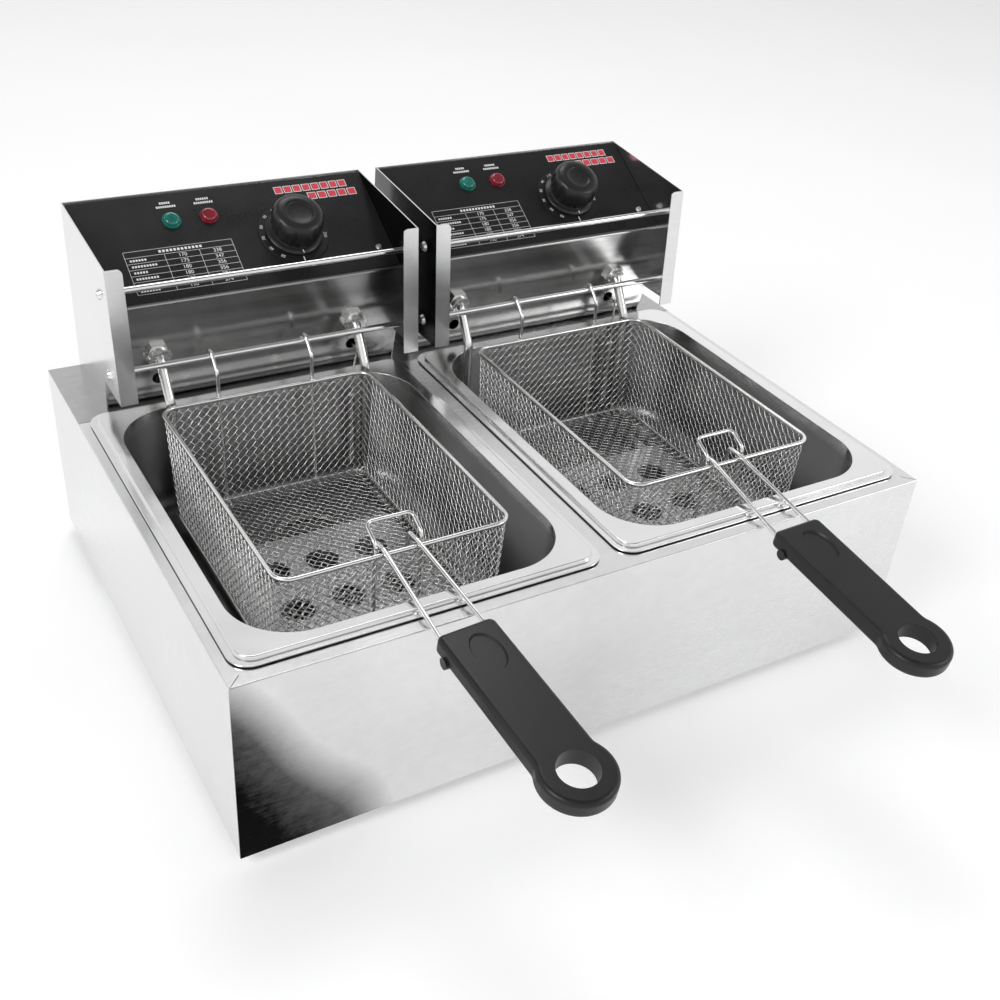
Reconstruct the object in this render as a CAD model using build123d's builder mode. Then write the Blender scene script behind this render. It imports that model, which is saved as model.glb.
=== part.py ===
from build123d import *
import math
import os

os.makedirs("parts", exist_ok=True)

# ---------------------------------------------------------------------------
# Twin-tank countertop deep fryer.  Millimetres, +Z up, front faces -Y.
# Origin: middle of the footprint (handles and rear fittings included), on the
# surface the feet stand on.
# ---------------------------------------------------------------------------

# cabinet
cab_w, cab_d, cab_h = 560.0, 425.0, 146.5   # folded stainless box
sheet = 0.8                                 # sheet thickness
foot_h = 10.0                               # rubber feet below the cabinet
y_face = -138.9                             # front face of the cabinet
lip_in = 15.0                               # inward flange round the bottom
mouth_rim = 1.2                             # upstand round each deck opening

# tanks
tank_x = 139.5                              # tank centres, left and right
tank_w, tank_l = 266.0, 325.0               # outer lip
tank_y0 = 11.0                              # lip starts behind the front face
mouth_w, mouth_l, mouth_r = 237.6, 297.0, 45.0
tank_floor = 50.0                           # inner floor above cabinet bottom
lip_t, lip_step = 0.8, 2.5                  # outer lip and raised flange
tank_draft = 1.0                            # wall draft, degrees

# heads
head_x = 131.0                              # head centres
head_w = 246.0
plate_t = 1.0
flange_w = 13.0                             # inward front flange of the cheeks
side_pts = [(345.0, 146.5), (424.5, 146.5), (417.5, 286.7), (304.0, 276.7),
            (297.0, 172.8), (339.5, 172.8)]
panel_y, panel_z = 329.5, 235.0             # lower front edge of the panel
panel_rise = 31.1                           # panel slope, degrees
panel_len = 99.4
front_foot = (343.0, 150.0)                 # lower end of the sloping front
rod_r = 2.5
upper_rod_yz = (323.0, 252.0)
lower_rod_yz = (321.0, 188.0)
gland_x, gland_z = 82.0, 190.5
vent_z, vent_r = 167.5, 5.0

# element
tube_r = 4.0
tube_z = 59.5
tube_pitch = 2 * gland_x / 3

# baskets
bask_x = 137.5
bask_w, bask_l = 172.0, 238.0               # rim, wire centre to wire centre
bask_y0 = 66.0
rim_z, rim_r, rim_wire = 159.5, 12.0, 1.75
bask_bottom = 68.0
bask_in = 4.0                               # walls lean in by this much
bask_skin = 0.8
hook_x = 39.0
prong_grip, prong_rim = 16.5, 12.5          # half spacings of the handle wires
prong_wire = 1.75

# grip
grip_y, grip_z = -12.5, 146.8
grip_fall = 7.5                             # degrees
grip_w, grip_t, grip_len = 42.5, 13.0, 123.6
ring_r, hang_r = 25.0, 13.5
handle_yaw = {"left": 3.6, "right": 1.8}     # each handle sits slightly askew in its bracket


def Y(v):
    return y_face + v


def Z(v):
    return foot_h + v


def V(x, y, z):
    return (x, Y(y), Z(z))


y_mid = Y(cab_d / 2)
z_deck = Z(cab_h)
down = lambda x, y, z: Plane(origin=(x, y, z), x_dir=(1, 0, 0), z_dir=(0, 0, -1))
log = []


def save(part, name):
    part.label = name
    export_step(part, f"parts/{name}.step")
    box = part.bounding_box()
    log.append((name, part.volume, box.min, box.max))


# ---------------------------------------------------------------------------
# Cabinet
# ---------------------------------------------------------------------------
open_w, open_l, open_r = mouth_w + 8.0, mouth_l + 8.0, mouth_r + 4.0
tank_mid = tank_y0 + tank_l / 2
tab_x, tab_y = 80.0, 404.0                  # locating tabs of each head

with BuildPart() as cabinet_shell:
    with BuildSketch(Plane.XY.offset(foot_h)):
        with Locations((0, y_mid)):
            Rectangle(cab_w, cab_d)
    extrude(amount=cab_h)
    fillet(cabinet_shell.edges().filter_by(Axis.Z), radius=1.0)
    fillet(cabinet_shell.edges().group_by(Axis.Z)[-1], radius=0.9)
    with BuildSketch(Plane.XY.offset(foot_h + sheet)):
        with Locations((0, y_mid)):
            Rectangle(cab_w - 2 * sheet, cab_d - 2 * sheet)
    extrude(amount=cab_h - 2 * sheet, mode=Mode.SUBTRACT)
    with BuildSketch(Plane.XY.offset(foot_h)):
        with Locations((0, y_mid)):
            Rectangle(cab_w - 2 * lip_in, cab_d - 2 * lip_in)
    extrude(amount=sheet, mode=Mode.SUBTRACT)
    # upstands round the tank openings
    with BuildSketch(Plane.XY.offset(z_deck - sheet)):
        with Locations((-tank_x, Y(tank_mid)), (tank_x, Y(tank_mid))):
            RectangleRounded(open_w + 2 * sheet, open_l + 2 * sheet, open_r + sheet)
    extrude(amount=sheet + mouth_rim)
    with BuildSketch(Plane.XY.offset(z_deck - sheet)):
        with Locations((-tank_x, Y(tank_mid)), (tank_x, Y(tank_mid))):
            RectangleRounded(open_w, open_l, open_r)
    extrude(amount=sheet + mouth_rim, mode=Mode.SUBTRACT)
    # slots for the locating tabs of the heads
    with BuildSketch(Plane.XY.offset(z_deck - sheet)):
        with Locations(*[(s * head_x + t * tab_x, Y(tab_y)) for s in (-1, 1) for t in (-1, 1)]):
            Rectangle(22.0, 3.0)
    extrude(amount=sheet, mode=Mode.SUBTRACT)
    # screw holes in the bottom flange
    with BuildSketch(Plane.XY.offset(foot_h)):
        with Locations(*[(sx * (cab_w / 2 - 8), Y(y)) for sx in (-1, 1) for y in (60.0, 365.0)],
                       *[(x, Y(y)) for x in (-150.0, 150.0) for y in (8.0, cab_d - 8.0)]):
            Circle(1.6)
    extrude(amount=sheet, mode=Mode.SUBTRACT)
    # row of air slots low in the rear wall
    with BuildSketch(Plane.XZ.offset(-Y(cab_d))):
        with Locations(*[(x, Z(30.0)) for x in range(-70, 71, 20)]):
            SlotOverall(34.0, 5.0, rotation=90)
    extrude(amount=sheet * 2, both=True, mode=Mode.SUBTRACT)
save(cabinet_shell.part, "cabinet_shell")

foot_pts = [(sx * (cab_w / 2 - 45.0), Y(y)) for sx in (-1, 1) for y in (45.0, cab_d - 45.0)]
base_screw_pts = ([(sx * (cab_w / 2 - 8), Y(y)) for sx in (-1, 1) for y in (60.0, 365.0)]
                  + [(x, Y(y)) for x in (-150.0, 150.0) for y in (8.0, cab_d - 8.0)])

with BuildPart() as cabinet_base:
    with BuildSketch(Plane.XY.offset(foot_h + sheet)):
        with Locations((0, y_mid)):
            Rectangle(cab_w - 2 * sheet - 1.0, cab_d - 2 * sheet - 1.0)
        with Locations(*base_screw_pts):
            Circle(1.6, mode=Mode.SUBTRACT)
        with Locations(*foot_pts):
            Circle(2.6, mode=Mode.SUBTRACT)
        with Locations(*[(x, Y(y)) for x in range(-195, 196, 30) for y in (150.0, 212.0, 274.0)]):
            SlotOverall(44.0, 5.0, rotation=90, mode=Mode.SUBTRACT)
    extrude(amount=1.0)
save(cabinet_base.part, "cabinet_base")

base_under = foot_h + sheet
with BuildPart() as feet:
    with BuildSketch(Plane.XY):
        with Locations(*foot_pts):
            Circle(10.0)
    extrude(amount=base_under, taper=-12.0)
    chamfer(feet.edges().group_by(Axis.Z)[0], length=1.2)
    with BuildSketch(Plane.XY):
        with Locations(*foot_pts):
            Circle(5.4)
    extrude(amount=5.0, mode=Mode.SUBTRACT)
    with BuildSketch(Plane.XY):
        with Locations(*foot_pts):
            Circle(2.6)
    extrude(amount=base_under, mode=Mode.SUBTRACT)
save(feet.part, "feet")

with BuildPart() as base_screws:
    # pan-head screws that hold the base to the bottom flange, from below
    with BuildSketch(Plane.XY.offset(foot_h - 1.8)):
        with Locations(*base_screw_pts):
            Circle(3.2)
    extrude(amount=1.8)
    with BuildSketch(Plane.XY.offset(foot_h - 0.1)):
        with Locations(*base_screw_pts):
            Circle(1.55)
    extrude(amount=7.0)
    # foot screws: head in the foot's recess, nut on top of the base
    with BuildSketch(Plane.XY.offset(2.4)):
        with Locations(*foot_pts):
            Circle(4.6)
    extrude(amount=2.6)
    with BuildSketch(Plane.XY.offset(4.9)):
        with Locations(*foot_pts):
            Circle(2.5)
    extrude(amount=12.0)
    with BuildSketch(Plane.XY.offset(base_under + 1.0)):
        with Locations(*foot_pts):
            RegularPolygon(4.6, 6)
    extrude(amount=4.0)
    with BuildSketch(Plane.XY.offset(foot_h - 1.8)):
        with Locations(*base_screw_pts):
            Rectangle(4.2, 0.8)
            Rectangle(0.8, 4.2)
    extrude(amount=1.0, mode=Mode.SUBTRACT)
    with BuildSketch(Plane.XY.offset(2.4)):
        with Locations(*foot_pts):
            Rectangle(6.0, 1.0)
            Rectangle(1.0, 6.0)
    extrude(amount=1.2, mode=Mode.SUBTRACT)
save(base_screws.part, "base_screws")

# ---------------------------------------------------------------------------
# Directions shared by both heads
# ---------------------------------------------------------------------------
pr = math.radians(panel_rise)
front_lean = math.atan2(front_foot[0] - panel_y, panel_z - front_foot[1])


def front_y(z):
    """y of the sloping front's outer face at height z."""
    return panel_y + (panel_z - z) * math.tan(front_lean)


def panel_plane(cx, u, v, h=0.0):
    """Plane on the control panel: u across, v up the slope, h above it."""
    y = panel_y + v * math.cos(pr) - h * math.sin(pr)
    z = panel_z + v * math.sin(pr) + h * math.cos(pr)
    return Plane(origin=V(cx + u, y, z), x_dir=(1, 0, 0),
                 z_dir=(0, -math.sin(pr), math.cos(pr)))


def front_plane(x, z, h=0.0):
    """Plane on the sloping front, facing out and slightly down."""
    n = (0, -math.cos(front_lean), -math.sin(front_lean))
    return Plane(origin=V(x, front_y(z) + n[1] * h, z + n[2] * h), x_dir=(1, 0, 0), z_dir=n)


knob_u, knob_v = 44.0, 45.5
lamp_v = 72.2
lamps = {"power_lamp": -47.0, "heating_lamp": -17.0}
screw_u, screw_v = 110.0, 21.5
gland_n = (0, -math.cos(front_lean), -math.sin(front_lean))

for side, s in (("left", -1), ("right", 1)):
    tx, hx, bx = s * tank_x, s * head_x, s * bask_x

    # ----------------------------------------------------------------- tank
    ty = Y(tank_mid)
    lip_z = z_deck + mouth_rim
    top_z = lip_z + lip_t + lip_step
    with BuildPart() as basin_cut:
        with BuildSketch(down(tx, ty, top_z)):
            RectangleRounded(mouth_w, mouth_l, mouth_r)
        extrude(amount=top_z - Z(tank_floor), taper=tank_draft)
        fillet(basin_cut.edges().group_by(Axis.Z)[0], radius=14.0)
    with BuildPart() as tank:
        with BuildSketch(Plane.XY.offset(lip_z)):
            with Locations((tx, ty)):
                RectangleRounded(tank_w, tank_l, 15.0)
        extrude(amount=lip_t)
        fillet(tank.edges().group_by(Axis.Z)[-1], radius=0.35)
        with BuildSketch(Plane.XY.offset(lip_z)):
            with Locations((tx, ty)):
                RectangleRounded(tank_w - 9.0, tank_l - 9.0, 12.5)
        extrude(amount=lip_t + lip_step, taper=12.0)
        fillet(tank.edges().group_by(Axis.Z)[-1], radius=1.0)
        with BuildSketch(Plane.XY.offset(lip_z)):
            with Locations((tx, ty)):
                RectangleRounded(tank_w - 10.6, tank_l - 10.6, 11.7)
        extrude(amount=lip_t + lip_step - sheet, taper=12.0, mode=Mode.SUBTRACT)
        with BuildSketch(down(tx, ty, top_z - 0.4)):
            RectangleRounded(mouth_w + 1.6, mouth_l + 1.6, mouth_r + 0.8)
        extrude(amount=top_z - 0.4 - Z(tank_floor) + sheet, taper=tank_draft)
        fillet(tank.edges().group_by(Axis.Z)[0], radius=14.8)
        add(basin_cut.part, mode=Mode.SUBTRACT)
        mouth = tank.edges().group_by(Axis.Z)[-1].filter_by(
            lambda e: abs(e.center().X - tx) < mouth_w / 2 + 1.0 and abs(e.center().Y - ty) < mouth_l / 2 + 1.0)
        fillet(mouth, radius=0.35)
    save(tank.part, f"{side}_tank")

    # ----------------------------------------------------------- head shell
    with BuildPart() as head_shell:
        with BuildSketch(Plane.YZ.offset(hx - head_w / 2)):
            Polygon(*[(Y(a), Z(b)) for a, b in side_pts], align=None)
        extrude(amount=head_w)
        # hollow between the side plates, leaving the back and the flanges
        lean_f = (304.0 - 297.0) / (276.7 - 172.8)
        lean_b = (424.5 - 417.5) / (286.7 - 146.5)
        f_lo, f_hi = 297.0 - 40.8 * lean_f + plate_t, 304.0 + 19.5 * lean_f + plate_t
        b_lo, b_hi = 424.5 + 14.5 * lean_b - plate_t, 417.5 - 9.5 * lean_b - plate_t
        with BuildSketch(Plane.YZ.offset(hx - head_w / 2 + plate_t)):
            Polygon((Y(f_lo), Z(132.0)), (Y(b_lo), Z(132.0)),
                    (Y(b_hi), Z(296.2)), (Y(f_hi), Z(296.2)), align=None)
        extrude(amount=head_w - 2 * plate_t, mode=Mode.SUBTRACT)
        with BuildSketch(Plane.XZ.offset(-Y(290.0))):
            with Locations((hx, Z(225.0))):
                Rectangle(head_w - 2 * flange_w, 130.0)
        extrude(amount=-22.0, mode=Mode.SUBTRACT)
        # rounded upper inner corners of the flanges
        tip = head_shell.edges().filter_by(Axis.Y, 10.0).filter_by(
            lambda e: abs(abs(e.center().X - hx) - (head_w / 2 - flange_w)) < 0.1
            and e.center().Z > Z(270.0) and e.length < 2.0)
        fillet(tip, radius=4.0)
        # holes for the rod screws
        for ry, rz in (upper_rod_yz, lower_rod_yz):
            with BuildSketch(Plane.YZ.offset(hx - head_w / 2 - 1)):
                with Locations((Y(ry), Z(rz))):
                    Circle(2.1)
            extrude(amount=head_w + 2, mode=Mode.SUBTRACT)
        # rear wall: cable entry and limiter collar
        with BuildSketch(Plane.XZ.offset(-Y(430.0))):
            with Locations((hx - 62.0, Z(172.0))):
                Circle(8.05)
            with Locations((hx + 55.0, Z(200.0))):
                Circle(5.05)
        extrude(amount=20.0, mode=Mode.SUBTRACT)
    save(head_shell.part, f"{side}_head_shell")

    inner_w = head_w - 2 * plate_t
    # ------------------------------------------- folded front under the panel
    a_top = (panel_y + panel_len * math.cos(pr), panel_z + panel_len * math.sin(pr))
    t_l = math.tan(front_lean)
    v_c = ((0.4 / math.cos(front_lean) + 1.2 * math.cos(pr) * t_l - 1.2 * math.sin(pr))
           / (math.cos(pr) + t_l * math.sin(pr)))
    c_low = (panel_y + v_c * math.cos(pr) + 1.2 * math.sin(pr),
             panel_z + v_c * math.sin(pr) - 1.2 * math.cos(pr))
    c_top = (a_top[0] + 1.2 * math.sin(pr), a_top[1] - 1.2 * math.cos(pr))
    c_foot = (front_y(cab_h + 0.4) + 0.4 / math.cos(front_lean), cab_h + 0.4)
    with BuildPart() as head_front:
        with BuildSketch(Plane.YZ.offset(hx - inner_w / 2)):
            with BuildLine():
                FilletPolyline((Y(c_top[0]), Z(c_top[1])), (Y(c_low[0]), Z(c_low[1])),
                               (Y(c_foot[0]), Z(c_foot[1])), (Y(362.0), Z(c_foot[1])),
                               radius=[1.6, 9.0])
            trace(line_width=sheet)
        extrude(amount=inner_w)
        for u in (-gland_x, gland_x):
            with BuildSketch(front_plane(hx + u, gland_z, 6.0)):
                Circle(6.0)
            extrude(amount=-14.0, mode=Mode.SUBTRACT)
            with BuildSketch(front_plane(hx + u, vent_z, 6.0)):
                Circle(vent_r)
            extrude(amount=-14.0, mode=Mode.SUBTRACT)
        with BuildSketch(panel_plane(hx, 0, 0, 3.0)):
            with Locations((knob_u, knob_v)):
                Circle(5.0)
            with Locations(*[(u, lamp_v) for u in lamps.values()]):
                Circle(5.1)
            with Locations((-screw_u, screw_v), (screw_u, screw_v)):
                Circle(1.5)
        extrude(amount=-6.0, mode=Mode.SUBTRACT)
    save(head_front.part, f"{side}_head_front")

    with BuildPart() as control_panel:
        with BuildSketch(panel_plane(hx, 0, 0, -0.8)):
            with Locations((0, panel_len / 2 + 0.6)):
                RectangleRounded(inner_w - 1.0, panel_len - 3.2, 1.0)
            with Locations((knob_u, knob_v)):
                Circle(5.0, mode=Mode.SUBTRACT)
            with Locations(*[(u, lamp_v) for u in lamps.values()]):
                Circle(5.1, mode=Mode.SUBTRACT)
            with Locations((-screw_u, screw_v), (screw_u, screw_v)):
                Circle(1.5, mode=Mode.SUBTRACT)
        extrude(amount=0.8)
    save(control_panel.part, f"{side}_control_panel")

    # ------------------------------------------------------------- head base
    with BuildPart() as head_base:
        with BuildSketch(Plane.XY.offset(z_deck)):
            with Locations((hx, Y(393.3))):
                Rectangle(inner_w, 57.5)
        extrude(amount=plate_t)
        with BuildSketch(Plane.XY.offset(z_deck)):
            with Locations((hx - tab_x, Y(tab_y)), (hx + tab_x, Y(tab_y))):
                Rectangle(20.0, 1.2)
        extrude(amount=-9.0)
        with BuildSketch(Plane.XY.offset(z_deck)):
            with Locations((hx, Y(421.55))):
                Rectangle(inner_w, 1.0)
        extrude(amount=12.0)
    save(head_base.part, f"{side}_head_base")

    # ------------------------------------------------------------------ rods
    for rod_name, (ry, rz) in (("upper_rod", upper_rod_yz), ("lower_rod", lower_rod_yz)):
        with BuildPart() as rod:
            with BuildSketch(Plane.YZ.offset(hx - inner_w / 2)):
                with Locations((Y(ry), Z(rz))):
                    Circle(rod_r)
            extrude(amount=inner_w)
            with BuildSketch(Plane.YZ.offset(hx - inner_w / 2)):
                with Locations((Y(ry), Z(rz))):
                    Circle(1.5)
            extrude(amount=9.0, mode=Mode.SUBTRACT)
            with BuildSketch(Plane.YZ.offset(hx + inner_w / 2)):
                with Locations((Y(ry), Z(rz))):
                    Circle(1.5)
            extrude(amount=-9.0, mode=Mode.SUBTRACT)
        save(rod.part, f"{side}_{rod_name}")

    with BuildPart() as rod_screws:
        for e in (-1, 1):
            for ry, rz in (upper_rod_yz, lower_rod_yz):
                out = Plane(origin=V(hx + e * head_w / 2, ry, rz), x_dir=(0, 1, 0), z_dir=(e, 0, 0))
                with BuildSketch(out):
                    Circle(4.3)
                extrude(amount=2.2, taper=28.0)
                with BuildSketch(out.offset(-8.0)):
                    Circle(1.5)
                extrude(amount=8.1)
                with BuildSketch(out.offset(1.2)):
                    Rectangle(4.0, 0.7)
                    Rectangle(0.7, 4.0)
                extrude(amount=1.2, mode=Mode.SUBTRACT)
    save(rod_screws.part, f"{side}_rod_screws")

    # --------------------------------------------------------------- element
    g_in = (front_y(gland_z) - gland_n[1] * 26.0, gland_z - gland_n[2] * 26.0)
    lead = 6.0
    bend = (front_y(gland_z) + gland_n[1] * lead, gland_z + gland_n[2] * lead)
    back_y, fore_y = 312.0, 48.0
    turn_y = 262.0
    xs = [hx - 1.5 * tube_pitch, hx - 0.5 * tube_pitch, hx + 0.5 * tube_pitch, hx + 1.5 * tube_pitch]
    pts = [V(xs[0], *g_in), V(xs[0], *bend), V(xs[0], back_y + 0.5, 160.0), V(xs[0], back_y, tube_z),
           V(xs[0], fore_y, tube_z), V(xs[1], fore_y, tube_z),
           V(xs[1], turn_y, tube_z), V(xs[2], turn_y, tube_z),
           V(xs[2], fore_y, tube_z), V(xs[3], fore_y, tube_z),
           V(xs[3], back_y, tube_z), V(xs[3], back_y + 0.5, 160.0), V(xs[3], *bend), V(xs[3], *g_in)]
    with BuildPart() as heating_element:
        with BuildLine() as run:
            FilletPolyline(*pts, radius=[7.0, 12.0, 14.0, 24.0, 24.0, 24.0, 24.0, 24.0, 24.0, 14.0, 12.0, 7.0])
        with BuildSketch(Plane(origin=run.line @ 0, z_dir=run.line % 0)):
            Circle(tube_r)
        sweep(path=run.line)
    save(heating_element.part, f"{side}_heating_element")

    with BuildPart() as gland_nuts:
        for u in (-gland_x, gland_x):
            base = front_plane(hx + u, gland_z)
            with BuildSketch(base):
                RegularPolygon(9.4, 6, major_radius=False)
            extrude(amount=4.0)
            with BuildSketch(base.offset(4.0)):
                Circle(8.4)
            extrude(amount=3.0, taper=9.0)
            # lock nut behind the sheet
            with BuildSketch(base.offset(-0.8)):
                RegularPolygon(9.4, 6, major_radius=False)
            extrude(amount=-4.0)
            with BuildSketch(base.offset(-0.9)):
                Circle(5.9)
            extrude(amount=1.0)
        add(heating_element.part, mode=Mode.SUBTRACT)
    save(gland_nuts.part, f"{side}_gland_nuts")

    with BuildPart() as thermostat_sensor:
        sx_, dx_ = hx + gland_x, hx + gland_x - 12.0
        box_foot = (panel_y + knob_v * math.cos(pr) + 23.7 * math.sin(pr),
                    panel_z + knob_v * math.sin(pr) - 23.7 * math.cos(pr))
        with BuildLine() as cap:
            FilletPolyline(V(hx + knob_u + 10.0, *box_foot), V(hx + knob_u + 10.0, box_foot[0] + 6.2, box_foot[1] - 10.3),
                           V(sx_, 374.0, vent_z), V(sx_, 328.0, vent_z),
                           V(dx_, 312.5, 152.0), V(dx_, 312.5, 70.0), radius=[4.0, 9.0, 6.0, 6.0])
        with BuildSketch(Plane(origin=cap.line @ 0, z_dir=cap.line % 0)):
            Circle(0.9)
        sweep(path=cap.line)
        with BuildSketch(Plane(origin=cap.line @ 1, z_dir=-(cap.line % 1))):
            Circle(3.0)
        extrude(amount=66.0)
        fillet(thermostat_sensor.edges().filter_by(GeomType.CIRCLE).filter_by(
            lambda e: abs(e.radius - 3.0) < 0.01), radius=1.2)
    save(thermostat_sensor.part, f"{side}_thermostat_sensor")

    # ----------------------------------------------------- element guard
    g_y0, g_y1, g_hw = 40.0, 235.0, 75.0
    g_z = tube_z + tube_r
    with BuildPart() as element_guard:
        with BuildSketch(Plane.XY.offset(Z(g_z))):
            with Locations((bx, Y((g_y0 + g_y1) / 2))):
                RectangleRounded(2 * g_hw, g_y1 - g_y0, 6.0)
            with Locations(*[(bx + d, Y(y)) for d in (-41.0, 0.0, 41.0) for y in (85.0, 147.0, 197.0)]):
                Circle(13.0, mode=Mode.SUBTRACT)
        extrude(amount=1.0)
        # turned-down lips between the tubes
        for gy in (g_y0, g_y1 - 1.0):
            with BuildSketch(Plane.XZ.offset(-Y(gy))):
                with Locations((bx, Z(g_z - 3.0))):
                    Rectangle(26.0, 6.2)
            extrude(amount=-1.0)
    save(element_guard.part, f"{side}_element_guard")

    # ---------------------------------------------- thermostat, knob and dial
    with BuildPart() as thermostat_body:
        with BuildSketch(panel_plane(hx, knob_u, knob_v, -1.7)):
            RectangleRounded(36.0, 36.0, 3.0)
        extrude(amount=-22.0)
        with BuildSketch(panel_plane(hx, knob_u, knob_v, -1.7)):
            Circle(4.8)
        extrude(amount=1.7)
        with BuildSketch(panel_plane(hx, knob_u, knob_v, 0.0)):
            Circle(3.05)
        extrude(amount=-18.3, mode=Mode.SUBTRACT)
        with BuildSketch(panel_plane(hx, knob_u, knob_v, -23.7)):
            with Locations((-9.0, 8.0), (-9.0, -8.0)):
                Rectangle(6.3, 0.8)
        extrude(amount=-8.0)
    save(thermostat_body.part, f"{side}_thermostat_body")

    with BuildPart() as thermostat_shaft:
        with BuildSketch(panel_plane(hx, knob_u, knob_v, -18.0)):
            Circle(3.0)
        extrude(amount=18.0 + 21.0)
        with BuildSketch(panel_plane(hx, knob_u, knob_v, 8.0)):
            with Locations((0, 2.6)):
                Rectangle(7.0, 1.6)
        extrude(amount=14.0, mode=Mode.SUBTRACT)
    save(thermostat_shaft.part, f"{side}_thermostat_shaft")

    with BuildPart() as dial_ring:
        with BuildSketch(panel_plane(hx, knob_u, knob_v, 0.0)):
            Circle(28.5)
            Circle(5.0, mode=Mode.SUBTRACT)
        extrude(amount=1.1)
        fillet(dial_ring.edges().filter_by(GeomType.CIRCLE).filter_by(
            lambda e: e.radius > 20).sort_by(Axis.Z)[-1:], radius=0.5)
    save(dial_ring.part, f"{side}_dial_ring")

    with BuildPart() as knob:
        with BuildSketch(panel_plane(hx, knob_u, knob_v, 1.5)):
            Circle(23.0)
        extrude(amount=7.0, taper=6.0)
        with BuildSketch(panel_plane(hx, knob_u, knob_v, 8.5)):
            Circle(21.6)
            with PolarLocations(27.2, 8, start_angle=22.5):
                Circle(7.0, mode=Mode.SUBTRACT)
        extrude(amount=19.5, taper=1.0)
        with BuildSketch(panel_plane(hx, knob_u, knob_v, 28.0)):
            Circle(10.2)
        extrude(amount=-1.6, mode=Mode.SUBTRACT)
        with BuildSketch(panel_plane(hx, knob_u, knob_v, 1.5)):
            Circle(3.0)
        extrude(amount=19.5, mode=Mode.SUBTRACT)
        with BuildSketch(panel_plane(hx, knob_u, knob_v, 8.0)):
            with Locations((0, 2.6)):
                Rectangle(7.0, 1.6)
        extrude(amount=13.0, mode=Mode.PRIVATE)
    save(knob.part, f"{side}_knob")

    # ----------------------------------------------------------------- lamps
    for lamp_name, u in lamps.items():
        with BuildPart() as lamp:
            with BuildSketch(panel_plane(hx, u, lamp_v, 0.0)):
                Circle(7.4)
            extrude(amount=1.2)
            with BuildSketch(panel_plane(hx, u, lamp_v, 1.2)):
                Circle(6.4)
            extrude(amount=3.0, taper=12.0)
            fillet(lamp.edges().filter_by(GeomType.CIRCLE).sort_by(
                lambda e: e.center().Z)[-1:], radius=2.2)
            with BuildSketch(panel_plane(hx, u, lamp_v, 0.1)):
                Circle(5.0)
            extrude(amount=-24.0)
            for t in (-2.4, 2.4):
                with BuildSketch(panel_plane(hx, u + t, lamp_v, -23.8)):
                    Rectangle(0.8, 2.8)
                extrude(amount=-7.0)
        save(lamp.part, f"{side}_{lamp_name}")

    with BuildPart() as panel_screws:
        for u in (-screw_u, screw_u):
            with BuildSketch(panel_plane(hx, u, screw_v, 0.0)):
                Circle(2.8)
            extrude(amount=1.5, taper=30.0)
            with BuildSketch(panel_plane(hx, u, screw_v, 0.1)):
                Circle(1.45)
            extrude(amount=-7.0)
    save(panel_screws.part, f"{side}_panel_screws")

    # ------------------------------------------------ inside and back of head
    with BuildPart() as terminal_block:
        with BuildSketch(Plane.XY.offset(z_deck + plate_t)):
            with Locations((hx - 10.0, Y(392.0))):
                Rectangle(46.0, 20.0)
        extrude(amount=16.0)
        with BuildSketch(Plane.XY.offset(z_deck + plate_t + 16.0)):
            with Locations(*[(hx - 10.0 + d, Y(388.0)) for d in (-15.0, 0.0, 15.0)],
                           *[(hx - 10.0 + d, Y(396.0)) for d in (-15.0, 0.0, 15.0)]):
                Circle(2.4)
        extrude(amount=-9.0, mode=Mode.SUBTRACT)
    save(terminal_block.part, f"{side}_terminal_block")

    lim = (hx + 55.0, 200.0)
    with BuildPart() as safety_limiter:
        with BuildSketch(Plane.XZ.offset(-Y(417.6))):
            with Locations((lim[0], Z(lim[1]))):
                Circle(13.0)
        extrude(amount=12.0)
        with BuildSketch(Plane.XZ.offset(-Y(417.7))):
            with Locations((lim[0], Z(lim[1]))):
                Circle(5.0)
        extrude(amount=-10.3)
        with BuildSketch(Plane.XZ.offset(-Y(422.9))):
            with Locations((lim[0], Z(lim[1]))):
                RegularPolygon(7.5, 6)
        extrude(amount=-2.4)
        with BuildSketch(Plane.XZ.offset(-Y(412.0))):
            with Locations((lim[0], Z(lim[1]))):
                Circle(3.4)
        extrude(amount=-17.0, mode=Mode.SUBTRACT)
    save(safety_limiter.part, f"{side}_safety_limiter")

    with BuildPart() as reset_button:
        with BuildSketch(Plane.XZ.offset(-Y(415.0))):
            with Locations((lim[0], Z(lim[1]))):
                Circle(3.0)
        extrude(amount=-15.5)
        fillet(reset_button.edges().filter_by(GeomType.CIRCLE).sort_by(Axis.Y)[-1:], radius=1.2)
    save(reset_button.part, f"{side}_reset_button")

    with BuildPart() as cable_gland:
        gx, gz = hx - 62.0, 172.0
        for y0, length, r in ((417.0, 10.0, 8.0), (424.0, 4.5, 12.0), (428.4, 9.6, 8.6)):
            with BuildSketch(Plane.XZ.offset(-Y(y0))):
                with Locations((gx, Z(gz))):
                    Circle(r)
            extrude(amount=-length)
        with BuildSketch(Plane.XZ.offset(-Y(421.2))):
            with Locations((gx, Z(gz))):
                Circle(11.0)
        extrude(amount=4.2)
        with BuildSketch(Plane.XZ.offset(-Y(400.0))):
            with Locations((gx, Z(gz))):
                Circle(4.2)
        extrude(amount=-50.0, mode=Mode.SUBTRACT)
    save(cable_gland.part, f"{side}_cable_gland")

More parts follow.
